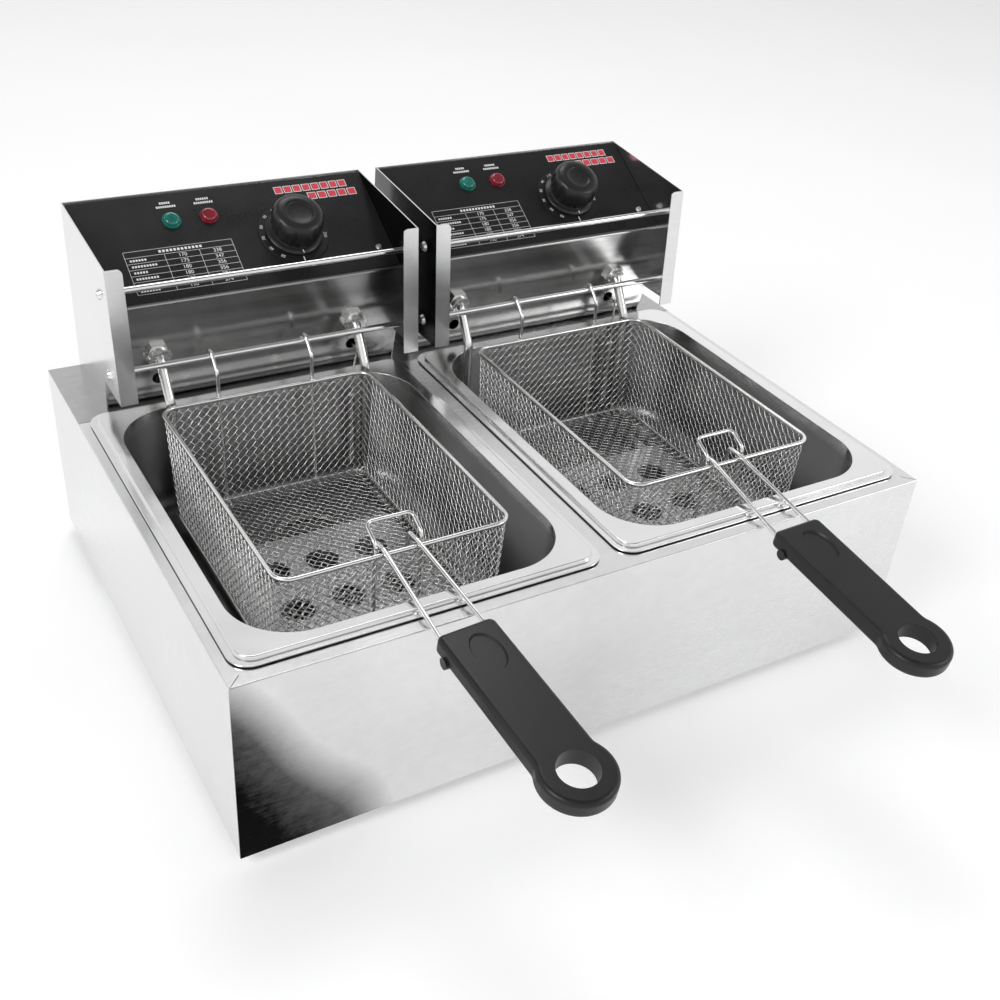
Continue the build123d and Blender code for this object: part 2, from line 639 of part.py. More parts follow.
    # ---------------------------------------------------------------- basket
    by = Y(bask_y0 + bask_l / 2)
    mesh_h = rim_z - bask_bottom
    mesh_draft = math.degrees(math.atan2(bask_in, mesh_h))
    with BuildPart() as mesh_cut:
        with BuildSketch(down(bx, by, Z(rim_z))):
            RectangleRounded(bask_w - bask_skin, bask_l - bask_skin, rim_r - bask_skin / 2)
        extrude(amount=mesh_h - bask_skin, taper=mesh_draft)
        fillet(mesh_cut.edges().group_by(Axis.Z)[0], radius=2.2)
    with BuildPart() as basket_mesh:
        with BuildSketch(down(bx, by, Z(rim_z))):
            RectangleRounded(bask_w + bask_skin, bask_l + bask_skin, rim_r + bask_skin / 2)
        extrude(amount=mesh_h, taper=mesh_draft)
        fillet(basket_mesh.edges().group_by(Axis.Z)[0], radius=3.0)
        add(mesh_cut.part, mode=Mode.SUBTRACT)
    save(basket_mesh.part, f"{side}_basket_mesh")

    low_w, low_l = bask_w - 2 * bask_in, bask_l - 2 * bask_in
    hook_wire = 1.5
    with BuildSketch(Plane.XY.offset(Z(rim_z))) as rim_line:
        with Locations((bx, by)):
            RectangleRounded(bask_w, bask_l, rim_r)
    rim_path = rim_line.sketch.face().outer_wire()
    with BuildPart() as rim_ring:
        with BuildSketch(Plane(origin=rim_path @ 0, z_dir=rim_path % 0)):
            Circle(rim_wire)
        sweep(path=rim_path)
    with BuildSketch(Plane.XY.offset(Z(bask_bottom + 0.6))) as low_line:
        with Locations((bx, by)):
            RectangleRounded(low_w - 0.6, low_l - 0.6, rim_r - 1.0)
    low_path = low_line.sketch.face().outer_wire()
    with BuildPart() as low_ring:
        with BuildSketch(Plane(origin=low_path @ 0, z_dir=low_path % 0)):
            Circle(1.25)
        sweep(path=low_path)

    y_back, y_front = bask_y0 + bask_l, bask_y0
    out_r = rim_wire + hook_wire - 0.15
    zb = bask_bottom - hook_wire + 0.15
    # hook over the lower rod: its tail leans back along the lifting direction
    ha = math.radians(14.0)
    hr = rod_r + hook_wire + 0.75
    tail = (lower_rod_yz[0] + hr * math.cos(ha), lower_rod_yz[1] + hr * math.sin(ha))
    top = lower_rod_yz[1] + hr
    rise = (top - tail[1]) / math.cos(ha)
    hook_pts = [(tail[0] + 5.0 * math.sin(ha), tail[1] - 5.0 * math.cos(ha)),
                (tail[0] - rise * math.sin(ha), top), (y_back + out_r + 11.9, top),
                (y_back + out_r, top - 11.7), (y_back + out_r, 158.0),
                (y_back - bask_in + 1.8, zb), (y_back - bask_in - 10.0, zb)]
    arm_x, arm_wire = 17.0, 1.5
    arm_y = y_front + rim_wire + arm_wire - 0.6
    with BuildPart() as basket_frame:
        add(rim_ring.part)
        add(low_ring.part)
        for t in (-hook_x, hook_x):
            with BuildLine() as hook:
                FilletPolyline(*[V(bx + t, a, b) for a, b in hook_pts],
                               radius=[4.4, 4.0, 6.0, 12.0, 5.0])
            with BuildSketch(Plane(origin=hook.line @ 0, z_dir=hook.line % 0)):
                Circle(hook_wire)
            sweep(path=hook.line)
        # handle bracket: two arms rise from the rim and carry a cross bar
        with BuildLine() as loop:
            FilletPolyline(V(bx - arm_x, arm_y + 3.0, bask_bottom + 3.4), V(bx - arm_x, arm_y, 167.5),
                           V(bx - arm_x, 84.5, 175.0), V(bx + arm_x, 84.5, 175.0),
                           V(bx + arm_x, arm_y, 167.5), V(bx + arm_x, arm_y + 3.0, bask_bottom + 3.4),
                           radius=[6.0, 4.5, 4.5, 6.0])
        with BuildSketch(Plane(origin=loop.line @ 0, z_dir=loop.line % 0)):
            Circle(arm_wire)
        sweep(path=loop.line)
    save(basket_frame.part, f"{side}_basket_frame")

    # --------------------------------------------------------- handle wires
    gf = math.radians(grip_fall)
    yaw = math.radians(handle_yaw[side])
    pivot = y_front + 6.0

    def H(x, y, z):
        """Handle point, turned by the handle's yaw about the bracket."""
        return V(bx + x * math.cos(yaw) - (y - pivot) * math.sin(yaw),
                 pivot + x * math.sin(yaw) + (y - pivot) * math.cos(yaw), z)

    wire_in = 52.0
    with BuildPart() as handle_wires:
        for t in (-1, 1):
            with BuildLine() as prong:
                FilletPolyline(
                    H(t * prong_grip, grip_y - wire_in * math.cos(gf), grip_z + 0.4 - wire_in * math.sin(gf)),
                    H(t * prong_grip, grip_y + 1.0, grip_z + 0.7),
                    H(t * prong_rim, y_front + 1.0, rim_z + 3.8), H(t * prong_rim, y_front + 12.0, rim_z + 3.6),
                    H(t * prong_rim, y_front + 13.0, rim_z - 9.0), radius=[14.0, 8.0, 3.2])
            with BuildSketch(Plane(origin=prong.line @ 0, z_dir=prong.line % 0)):
                Circle(prong_wire)
            sweep(path=prong.line)
    save(handle_wires.part, f"{side}_handle_wires")

    # ----------------------------------------------------------------- grip
    grip = Plane(origin=H(0.0, grip_y, grip_z), x_dir=(math.cos(yaw), math.sin(yaw), 0),
                 z_dir=(math.sin(gf) * math.sin(yaw), -math.sin(gf) * math.cos(yaw), math.cos(gf)))
    with BuildPart() as handle_grip:
        with BuildSketch(grip) as outline:
            with Locations((0, -grip_len / 2)):
                Rectangle(grip_w, grip_len)
            with Locations((0, -grip_len)):
                Circle(ring_r)
            fillet(outline.vertices().filter_by(lambda v: grip.to_local_coords(v).Y < -60 or v.Y < -60), radius=10.0)
            fillet(outline.vertices().filter_by(lambda v: v.Y > -1.0), radius=5.0)
        extrude(amount=grip_t / 2, both=True)
        rims = handle_grip.edges().filter_by(
            lambda e: abs(abs(grip.to_local_coords(e.center()).Z) - grip_t / 2) < 0.01)
        fillet(rims, radius=3.6)
        with BuildSketch(grip.offset(-grip_t / 2)):
            with Locations((0, -grip_len)):
                Circle(hang_r)
        extrude(amount=grip_t, mode=Mode.SUBTRACT)
        # lug across the underside near the front end
        lug = Plane(origin=grip.from_local_coords((-grip_w / 2 - 1.4, -14.0, -grip_t / 2 + 1.6)),
                    x_dir=(0, 1, 0), z_dir=(1, 0, 0))
        with BuildSketch(lug):
            Circle(4.0)
        extrude(amount=grip_w + 2.8)
        # thumb recess
        with BuildSketch(grip.offset(grip_t / 2 - 1.4)):
            with Locations((2.0, -25.0)):
                Ellipse(9.5, 15.0)
        extrude(amount=5.0, taper=-35.0, mode=Mode.SUBTRACT)
        # the wires run inside the grip
        add(handle_wires.part, mode=Mode.SUBTRACT)
    save(handle_grip.part, f"{side}_handle_grip")

lo = [min(getattr(b[2], k) for b in log) for k in "XYZ"]
hi = [max(getattr(b[3], k) for b in log) for k in "XYZ"]
print("nodes", len(log))
print("box", [round(v, 2) for v in lo], [round(v, 2) for v in hi])
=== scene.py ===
import bpy, bmesh, math
import numpy as np
from mathutils import Vector, Matrix


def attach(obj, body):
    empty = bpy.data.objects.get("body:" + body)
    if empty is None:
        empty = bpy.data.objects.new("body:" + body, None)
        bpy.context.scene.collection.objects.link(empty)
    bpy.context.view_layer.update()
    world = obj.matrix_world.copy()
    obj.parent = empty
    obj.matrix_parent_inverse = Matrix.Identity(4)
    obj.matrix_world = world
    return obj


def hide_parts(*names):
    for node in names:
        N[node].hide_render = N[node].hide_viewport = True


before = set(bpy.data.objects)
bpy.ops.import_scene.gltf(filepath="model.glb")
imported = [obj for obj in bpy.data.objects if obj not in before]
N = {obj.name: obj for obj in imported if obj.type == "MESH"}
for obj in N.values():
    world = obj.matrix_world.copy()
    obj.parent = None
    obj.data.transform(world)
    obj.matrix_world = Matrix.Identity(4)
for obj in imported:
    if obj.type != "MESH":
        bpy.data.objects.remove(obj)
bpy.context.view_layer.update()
scn = bpy.context.scene

# ------------------------------------------------------------------ frame
Y0, F = -138.9, 10.0
RISE = math.radians(31.1)
PANEL = (329.5, 235.0)


def R(x, y, z):
    """Millimetres from the cabinet's front bottom edge to metres in the row frame."""
    return Vector((x, y + Y0, z + F)) / 1000.0


SIDES = (("left", -1), ("right", 1))

# -------------------------------------------------------------- materials


class Mat:
    def __init__(self, name):
        self.m = bpy.data.materials.new(name)
        self.m.use_nodes = True
        self.t = self.m.node_tree
        self.t.nodes.clear()
        self.out = self.t.nodes.new("ShaderNodeOutputMaterial")
        self.b = self.t.nodes.new("ShaderNodeBsdfPrincipled")
        self.t.links.new(self.b.outputs[0], self.out.inputs[0])
        self.co = self.t.nodes.new("ShaderNodeTexCoord").outputs["Object"]

    def set(self, **kw):
        for k, v in kw.items():
            self.b.inputs[k.replace("_", " ")].default_value = v
        return self

    def link(self, a, b):
        self.t.links.new(a, b)

    def map(self, scale=(1, 1, 1), loc=(0, 0, 0), rot=(0, 0, 0), vec=None):
        n = self.t.nodes.new("ShaderNodeMapping")
        n.inputs["Scale"].default_value = scale
        n.inputs["Location"].default_value = loc
        n.inputs["Rotation"].default_value = rot
        self.link(vec or self.co, n.inputs[0])
        return n.outputs[0]

    def noise(self, scale, detail=3.0, rough=0.5, vec=None, dist=0.0):
        n = self.t.nodes.new("ShaderNodeTexNoise")
        n.inputs["Scale"].default_value = scale
        n.inputs["Detail"].default_value = detail
        n.inputs["Roughness"].default_value = rough
        n.inputs["Distortion"].default_value = dist
        self.link(vec or self.co, n.inputs["Vector"])
        return n.outputs["Fac"]

    def ramp(self, fac, stops):
        n = self.t.nodes.new("ShaderNodeValToRGB")
        e = n.color_ramp.elements
        while len(e) < len(stops):
            e.new(0.5)
        for el, (p, c) in zip(e, stops):
            el.position = p
            el.color = (c[0], c[1], c[2], 1) if isinstance(c, (tuple, list)) else (c, c, c, 1)
        self.link(fac, n.inputs[0])
        return n.outputs[0]

    def rng(self, fac, a, b, lo, hi, clamp=True):
        n = self.t.nodes.new("ShaderNodeMapRange")
        n.clamp = clamp
        for i, v in enumerate((a, b, lo, hi)):
            n.inputs[i + 1].default_value = v
        self.link(fac, n.inputs[0])
        return n.outputs[0]

    def math(self, op, a, b=None):
        n = self.t.nodes.new("ShaderNodeMath")
        n.operation = op
        for i, v in enumerate((a, b)):
            if v is None:
                continue
            if isinstance(v, (int, float)):
                n.inputs[i].default_value = v
            else:
                self.link(v, n.inputs[i])
        return n.outputs[0]

    def mix(self, fac, a, b, mode="MIX"):
        n = self.t.nodes.new("ShaderNodeMix")
        n.data_type = "RGBA"
        n.blend_type = mode
        if isinstance(fac, (int, float)):
            n.inputs["Factor"].default_value = fac
        else:
            self.link(fac, n.inputs["Factor"])
        for k, v in ((6, a), (7, b)):
            if isinstance(v, (tuple, list)):
                n.inputs[k].default_value = (v[0], v[1], v[2], 1)
            else:
                self.link(v, n.inputs[k])
        return n.outputs[2]

    def xyz(self, vec=None):
        n = self.t.nodes.new("ShaderNodeSeparateXYZ")
        self.link(vec or self.co, n.inputs[0])
        return n.outputs

    def bump(self, h, strength=0.1, dist=0.001):
        n = self.t.nodes.new("ShaderNodeBump")
        n.inputs["Strength"].default_value = strength
        n.inputs["Distance"].default_value = dist
        self.link(h, n.inputs["Height"])
        prev = self.b.inputs["Normal"].links
        if prev:
            self.link(prev[0].from_socket, n.inputs["Normal"])
        self.link(n.outputs[0], self.b.inputs["Normal"])
        return self

    def color(self, s):
        self.link(s, self.b.inputs["Base Color"])
        return self

    def rough(self, s):
        self.link(s, self.b.inputs["Roughness"])
        return self


def steel(name, base=0.78, rough=(0.18, 0.30), grain=(4, 4, 400), grain_amt=0.05, smudge=0.06, tint=(1, 1, 1.01), bump=0.04):
    """Sheet metal: fine directional grain, faint cloudy smudges and rolling marks."""
    m = Mat(name).set(Metallic=1.0)
    g = m.noise(60.0, 5.0, 0.65, m.map(scale=grain))
    g2 = m.noise(14.0, 2.0, 0.6, m.map(scale=grain))
    cloud = m.noise(5.0, 4.0, 0.55)
    fine = m.noise(38.0, 3.0, 0.6)
    val = m.math("ADD", m.rng(g, 0.3, 0.7, -grain_amt, grain_amt), m.rng(g2, 0.3, 0.7, -grain_amt * 0.6, grain_amt * 0.6))
    val = m.math("ADD", val, m.rng(cloud, 0.3, 0.7, base - smudge, base + smudge * 0.6))
    col = m.mix(1.0, m.ramp(val, [(0.0, 0.0), (1.0, 1.0)]), tint, "MULTIPLY")
    m.color(col)
    r = m.math("ADD", m.rng(cloud, 0.3, 0.7, rough[0], rough[1]), m.rng(fine, 0.3, 0.7, -0.02, 0.03))
    m.rough(r)
    m.bump(g, bump, 0.0002)
    m.val = val
    return m


mats = {}


def register(name, m):
    mats[name] = m.m
    return m


# cabinet: satin sheet, brushed along X at the front and along Y at the sides
m = register("cabinet", Mat("cabinet_steel").set(Metallic=1.0))
gx = m.noise(60.0, 5.0, 0.65, m.map(scale=(1.2, 40, 40)))
gz = m.noise(60.0, 5.0, 0.65, m.map(scale=(60, 1.2, 60)))
geo = m.t.nodes.new("ShaderNodeNewGeometry")
nx = m.math("ABSOLUTE", m.xyz(geo.outputs["Normal"])[0])
g = m.t.nodes.new("ShaderNodeMix"); g.data_type = "FLOAT"
m.link(nx, g.inputs[0]); m.link(gx, g.inputs[2]); m.link(gz, g.inputs[3])
grain = g.outputs[0]
cloud = m.noise(4.2, 4.0, 0.55, dist=0.4)
fine = m.noise(120.0, 4.0, 0.7)
X, Y_, Z_ = m.xyz()
# painted reflection: a dark patch painted low at the front left corner of the cabinet front, standing in for a dark
# reflection
wob = m.rng(m.noise(7.0, 1.0, 0.4), 0.3, 0.7, -0.012, 0.012)
dx = m.math("MULTIPLY", m.math("ADD", m.math("SUBTRACT", X, -0.28), wob), 9.0)
dz = m.math("MULTIPLY", m.math("SUBTRACT", Z_, 0.010), 5.4)
reflection_blot = m.math("ADD", dx, dz)
frontness = m.rng(Y_, -0.1386, -0.1380, 1.0, 0.0)
painted_reflection_patch = m.math("MULTIPLY", m.ramp(reflection_blot, [(0.30, 1.0), (0.62, 0.86), (0.80, 0.42), (0.98, 0.0)]), frontness)
v = m.math("ADD", m.rng(cloud, 0.3, 0.7, 0.72, 0.81), m.rng(grain, 0.3, 0.7, -0.025, 0.025))
v = m.math("ADD", v, m.rng(fine, 0.35, 0.65, -0.015, 0.015))
v = m.math("ADD", v, m.math("MULTIPLY", nx, 0.0))
# painted reflection: the dark patch is taken off the cabinet colour here
v = m.math("SUBTRACT", v, m.math("MULTIPLY", painted_reflection_patch, 0.74))
# painted reflection: the deck behind the cross joint is painted darker, standing in for the dark reflection near the
# heads
nz = m.math("ABSOLUTE", m.xyz(geo.outputs["Normal"])[2])
v = m.math("SUBTRACT", v, m.math("MULTIPLY", m.math("MULTIPLY", m.rng(Y_, 0.190, 0.1915, 0.0, 1.0), m.rng(nz, 0.8, 0.95, 0.0, 1.0)), 0.30))
col = m.ramp(v, [(0.0, (0.0, 0.0, 0.0)), (1.0, (1.0, 1.0, 1.005))])
m.color(col)
m.rough(m.math("ADD", m.rng(cloud, 0.3, 0.7, 0.20, 0.30), m.rng(grain, 0.3, 0.7, -0.03, 0.03)))
m.bump(grain, 0.05, 0.0002)

# pans: polished lip, satin drawn walls, with painted shade darkening the inside walls
m = register("pan", Mat("pan_steel").set(Metallic=1.0))
X, Y_, Z_ = m.xyz()
inside = m.rng(Z_, 0.150, 0.158, 1.0, 0.0)
cloud = m.noise(9.0, 4.0, 0.6, dist=0.5)
draw = m.noise(70.0, 4.0, 0.6, m.map(scale=(30, 30, 1.5)))
v = m.math("ADD", m.rng(cloud, 0.3, 0.7, 0.80, 0.88), m.rng(draw, 0.3, 0.7, -0.012, 0.012))
# painted shade: the inside walls are painted darker, most at the bottom of the pan
v = m.math("SUBTRACT", v, m.math("MULTIPLY", inside, m.rng(Z_, 0.062, 0.12, 0.58, 0.30)))
m.color(m.ramp(v, [(0.0, 0.0), (1.0, 1.0)]))
m.rough(m.math("ADD", m.rng(inside, 0, 1, 0.16, 0.34), m.rng(cloud, 0.3, 0.7, -0.03, 0.05)))
m.bump(draw, 0.05, 0.0002)

m = register("head", steel("head_steel", 0.78, (0.16, 0.26), (1.4, 30, 30), 0.03, 0.05))
# painted shade: the two side plates that face each other between the heads are painted dark, standing in for the shade
# in the gap
X, Y_, Z_ = m.xyz()
geo = m.t.nodes.new("ShaderNodeNewGeometry")
nx = m.math("ABSOLUTE", m.xyz(geo.outputs["Normal"])[0])
painted_gap_shade = m.math("MULTIPLY", m.rng(nx, 0.8, 0.95, 0.0, 1.0), m.rng(m.math("ABSOLUTE", X), 0.014, 0.016, 1.0, 0.0))
m.color(m.ramp(m.math("SUBTRACT", m.val, m.math("MULTIPLY", painted_gap_shade, 0.66)), [(0.0, 0.0), (1.0, 1.0)]))
m = register("front", Mat("front_steel").set(Metallic=1.0))
X, Y_, Z_ = m.xyz()
st = m.noise(60.0, 4.0, 0.6, m.map(scale=(0.8, 30, 40)))
band = m.noise(9.0, 2.0, 0.5, m.map(scale=(0.35, 1, 6.5)), dist=0.2)
cl = m.noise(10.0, 3.0, 0.55, m.map(scale=(0.7, 1, 1)))
# painted reflection: the front plate is painted darker towards the top and lighter towards the bottom
v = m.math("ADD", m.rng(Z_, 0.155, 0.245, 0.60, 0.34), m.rng(band, 0.35, 0.65, -0.09, 0.09))
v = m.math("ADD", v, m.rng(st, 0.3, 0.7, -0.03, 0.03))
v = m.math("ADD", v, m.rng(cl, 0.3, 0.7, -0.08, 0.08))
m.color(m.ramp(v, [(0.0, 0.0), (1.0, (1.0, 0.995, 0.985))]))
m.rough(m.math("ADD", m.rng(cl, 0.3, 0.7, 0.14, 0.24), m.rng(st, 0.3, 0.7, -0.02, 0.03)))
m.bump(st, 0.05, 0.0002)
register("base", steel("base_steel", 0.60, (0.35, 0.5), (6, 6, 6), 0.05, 0.08))
register("guard", steel("guard_steel", 0.62, (0.25, 0.38), (2, 20, 20), 0.05, 0.10))

m = register("wire", Mat("basket_wire").set(Metallic=1.0))
n1 = m.noise(220.0, 3.0, 0.6); n2 = m.noise(25.0, 2.0, 0.5)
m.color(m.ramp(n2, [(0.3, (0.74, 0.735, 0.72)), (0.7, (0.90, 0.90, 0.895))]))
m.rough(m.rng(n1, 0.3, 0.7, 0.12, 0.24)); m.bump(n1, 0.08, 0.0002)

m = register("mesh", Mat("basket_mesh").set(Metallic=1.0))
n1 = m.noise(300.0, 2.0, 0.6); n2 = m.noise(30.0, 2.0, 0.5)
m.color(m.ramp(n2, [(0.3, (0.50, 0.50, 0.49)), (0.7, (0.68, 0.68, 0.675))]))
m.rough(m.rng(n1, 0.3, 0.7, 0.20, 0.32))

m = register("rod", Mat("rod_chrome").set(Metallic=1.0))
n1 = m.noise(80.0, 4.0, 0.6, m.map(scale=(0.6, 12, 12)))
m.color(m.ramp(n1, [(0.3, (0.80, 0.80, 0.81)), (0.7, (0.92, 0.92, 0.93))]))
m.rough(m.rng(n1, 0.3, 0.7, 0.08, 0.17))

m = register("element", Mat("element_steel").set(Metallic=1.0))
X, Y_, Z_ = m.xyz()
hot = m.rng(Z_, 0.09, 0.16, 1.0, 0.0)
n1 = m.noise(40.0, 4.0, 0.6); n2 = m.noise(260.0, 2.0, 0.6)
c_hot = m.ramp(n1, [(0.3, (0.16, 0.15, 0.14)), (0.7, (0.34, 0.33, 0.32))])
c_cold = m.ramp(n1, [(0.3, (0.66, 0.65, 0.63)), (0.7, (0.80, 0.80, 0.79))])
m.color(m.mix(hot, c_cold, c_hot))
m.rough(m.math("ADD", m.rng(hot, 0, 1, 0.20, 0.36), m.rng(n2, 0.3, 0.7, -0.03, 0.04)))
m.bump(n2, 0.08, 0.0002)

m = register("zinc", Mat("screw_zinc").set(Metallic=1.0))
n1 = m.noise(240.0, 3.0, 0.6)
m.color(m.ramp(n1, [(0.3, (0.70, 0.70, 0.68)), (0.7, (0.92, 0.92, 0.91))]))
m.rough(m.rng(n1, 0.3, 0.7, 0.18, 0.34)); m.bump(n1, 0.15, 0.0003)

m = register("brass", Mat("shaft_brass").set(Metallic=1.0))
n1 = m.noise(150.0, 3.0, 0.6)
m.color(m.ramp(n1, [(0.3, (0.52, 0.40, 0.20)), (0.7, (0.78, 0.66, 0.38))])); m.rough(m.rng(n1, 0.3, 0.7, 0.2, 0.36))

m = register("sensor", Mat("sensor_steel").set(Metallic=1.0))
n1 = m.noise(120.0, 3.0, 0.6)
m.color(m.ramp(n1, [(0.3, (0.44, 0.43, 0.42)), (0.7, (0.68, 0.67, 0.66))])); m.rough(m.rng(n1, 0.3, 0.7, 0.22, 0.4))


def plastic(name, lo, hi, rough, scale=400.0, bump=0.08, coat=0.0, spec=0.5):
    m = Mat(name).set(Metallic=0.0, Coat_Weight=coat, Specular_IOR_Level=spec)
    a = m.noise(scale, 3.0, 0.65); b = m.noise(14.0, 3.0, 0.6, dist=0.3)
    m.color(m.ramp(b, [(0.3, lo), (0.7, hi)]))
    m.rough(m.math("ADD", m.rng(b, 0.3, 0.7, rough[0], rough[1]), m.rng(a, 0.3, 0.7, -0.03, 0.04)))
    m.bump(a, bump, 0.0003)
    return m


register("panel", plastic("panel_black", (0.010, 0.010, 0.011), (0.018, 0.018, 0.019), (0.26, 0.34), 900.0, 0.02, spec=0.22))
register("dial", plastic("dial_black", (0.008, 0.008, 0.008), (0.014, 0.014, 0.014), (0.36, 0.46), spec=0.25))
register("knob", plastic("knob_plastic", (0.010, 0.010, 0.010), (0.020, 0.020, 0.020), (0.24, 0.34), 700.0, 0.04, spec=0.35))
register("grip", plastic("grip_plastic", (0.008, 0.008, 0.0085), (0.014, 0.014, 0.015), (0.30, 0.40), 900.0, 0.12, spec=0.36))
register("rubber", plastic("foot_rubber", (0.015, 0.015, 0.015), (0.035, 0.035, 0.035), (0.6, 0.75), 300.0, 0.2))
register("gland", plastic("gland_plastic", (0.015, 0.015, 0.015), (0.030, 0.030, 0.030), (0.4, 0.5)))
register("limiter", plastic("limiter_plastic", (0.02, 0.02, 0.02), (0.035, 0.035, 0.035), (0.4, 0.5)))
register("button", plastic("button_red", (0.40, 0.015, 0.012), (0.55, 0.03, 0.02), (0.25, 0.35)))
register("terminal", plastic("terminal_plastic", (0.62, 0.58, 0.48), (0.78, 0.75, 0.66), (0.45, 0.55)))
register("ceramic", plastic("ceramic", (0.62, 0.59, 0.52), (0.76, 0.73, 0.66), (0.45, 0.6)))
register("print_white", plastic("print_white", (0.70, 0.70, 0.70), (0.85, 0.85, 0.85), (0.45, 0.55), 900.0, 0.0))
register("print_red", plastic("print_red", (0.55, 0.03, 0.05), (0.66, 0.05, 0.08), (0.45, 0.55), 900.0, 0.0))
register("recess", plastic("recess_black", (0.004, 0.004, 0.004), (0.008, 0.008, 0.008), (0.6, 0.7)))


def lens(name, lo, hi, glow):
    m = Mat(name).set(Roughness=0.10, Coat_Weight=0.8, Coat_Roughness=0.03, Emission_Strength=0.03)
    a = m.noise(160.0, 2.0, 0.6)
    m.color(m.ramp(a, [(0.3, lo), (0.7, hi)]))
    m.b.inputs["Emission Color"].default_value = (*glow, 1)
    m.bump(a, 0.12, 0.0006)
    return m


register("lamp_green", lens("lamp_green", (0.0, 0.085, 0.065), (0.005, 0.20, 0.155), (0.0, 0.22, 0.17)))
register("lamp_red", lens("lamp_red", (0.10, 0.003, 0.010), (0.28, 0.008, 0.025), (0.30, 0.005, 0.02)))

kind = {"cabinet_shell": "cabinet", "cabinet_base": "base", "feet": "rubber", "base_screws": "zinc"}
per = {"tank": "pan", "head_shell": "head", "head_front": "front", "control_panel": "panel", "head_base": "head",
       "upper_rod": "rod", "lower_rod": "rod", "rod_screws": "zinc", "heating_element": "element", "gland_nuts": "zinc",
       "thermostat_sensor": "sensor", "element_guard": "guard", "thermostat_body": "ceramic", "thermostat_shaft": "brass",
       "dial_ring": "dial", "knob": "knob", "power_lamp": "lamp_green", "heating_lamp": "lamp_red", "panel_screws": "zinc",
       "terminal_block": "terminal", "safety_limiter": "limiter", "reset_button": "button", "cable_gland": "gland",
       "basket_mesh": "mesh", "basket_frame": "wire", "handle_wires": "wire", "handle_grip": "grip"}
for s, _ in SIDES:
    for k, v in per.items():
        kind[f"{s}_{k}"] = v
for n, o in N.items():
    o.data.materials.clear()
    o.data.materials.append(mats[kind[n]])
    for p in o.data.polygons:
        p.use_smooth = True
        p.material_index = 0
    w = o.modifiers.new("weld", "WELD"); w.merge_threshold = 2e-6
    e = o.modifiers.new("split", "EDGE_SPLIT"); e.split_angle = math.radians(28)
    k = o.modifiers.new("wn", "WEIGHTED_NORMAL"); k.keep_sharp = True


# ------------------------------------------------------------ mesh helpers
def make(name, verts, faces, mat, body, smooth=True):
    me = bpy.data.meshes.new(name)
    me.from_pydata([tuple(v) for v in verts], [], faces)
    me.validate()
    for p in me.polygons:
        p.use_smooth = smooth
    ob = bpy.data.objects.new(name, me)
    scn.collection.objects.link(ob)
    me.materials.append(mats[mat])
    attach(ob, body)
    return ob


def tubes(name, paths, radius, sides, mat, body):
    """paths: list of (points (n,3), reference normals (n,3)) in metres; the tube ends are left open."""
    V, Fc = [], []
    off = 0
    ang = np.arange(sides) * 2 * math.pi / sides
    ca, sa = np.cos(ang), np.sin(ang)
    for P, Nn in paths:
        n = len(P)
        T = np.gradient(P, axis=0)
        T /= np.linalg.norm(T, axis=1)[:, None]
        A = Nn - (Nn * T).sum(1)[:, None] * T
        A /= np.linalg.norm(A, axis=1)[:, None]
        B = np.cross(T, A)
        ring = P[:, None, :] + radius * (ca[None, :, None] * A[:, None, :] + sa[None, :, None] * B[:, None, :])
        V.append(ring.reshape(-1, 3))
        i = np.arange(n - 1)[:, None] * sides + np.arange(sides)[None, :]
        j = np.arange(n - 1)[:, None] * sides + (np.arange(sides)[None, :] + 1) % sides
        q = np.stack([i, j, j + sides, i + sides], -1).reshape(-1, 4) + off
        Fc.append(q)
        off += n * sides
    V = np.concatenate(V); Fc = np.concatenate(Fc)
    me = bpy.data.meshes.new(name)
    me.vertices.add(len(V)); me.vertices.foreach_set("co", V.astype(np.float32).ravel())
    me.loops.add(Fc.size); me.loops.foreach_set("vertex_index", Fc.astype(np.int32).ravel())
    me.polygons.add(len(Fc))
    me.polygons.foreach_set("loop_start", (np.arange(len(Fc)) * 4).astype(np.int32))
    me.update(calc_edges=True)
    me.polygons.foreach_set("use_smooth", np.ones(len(Fc), bool))
    me.update()
    ob = bpy.data.objects.new(name, me)
    scn.collection.objects.link(ob)
    me.materials.append(mats[mat])
    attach(ob, body)
    return ob


def panel_pt(hx, u, v, h):
    """A point on the control panel, in metres: u across, v up the slope, h above it, all in mm."""
    return R(hx + u, PANEL[0] + v * math.cos(RISE) - h * math.sin(RISE), PANEL[1] + v * math.sin(RISE) + h * math.cos(RISE))


def lathe(name, hx, u, v, prof, seg, mat, body, flute=None):
    """Turned shape about the panel's normal: prof is a list of (radius, height) in mm."""
    verts, faces = [], []
    for r, h in prof:
        for k in range(seg):
            a = 2 * math.pi * k / seg
            rr = r - (flute(a, h) if flute and r > 1 else 0.0)
            verts.append(panel_pt(hx, u + rr * math.cos(a), v + rr * math.sin(a), h))
    for i in range(len(prof) - 1):
        for k in range(seg):
            a, b = i * seg + k, i * seg + (k + 1) % seg
            faces.append((a, b, b + seg, a + seg))
    faces.append(tuple(reversed(range(seg))))
    faces.append(tuple((len(prof) - 1) * seg + k for k in range(seg)))
    ob = make(name, verts, faces, mat, body)
    e = ob.modifiers.new("split", "EDGE_SPLIT"); e.split_angle = math.radians(40)
    return ob


# -------------------------------------------------------------- wire mesh
BW, BL, RIM, BOT = 172.0, 238.0, 159.5, 68.0
RC, INSET, RB = 12.0, 4.0, 8.0
WR = 0.36


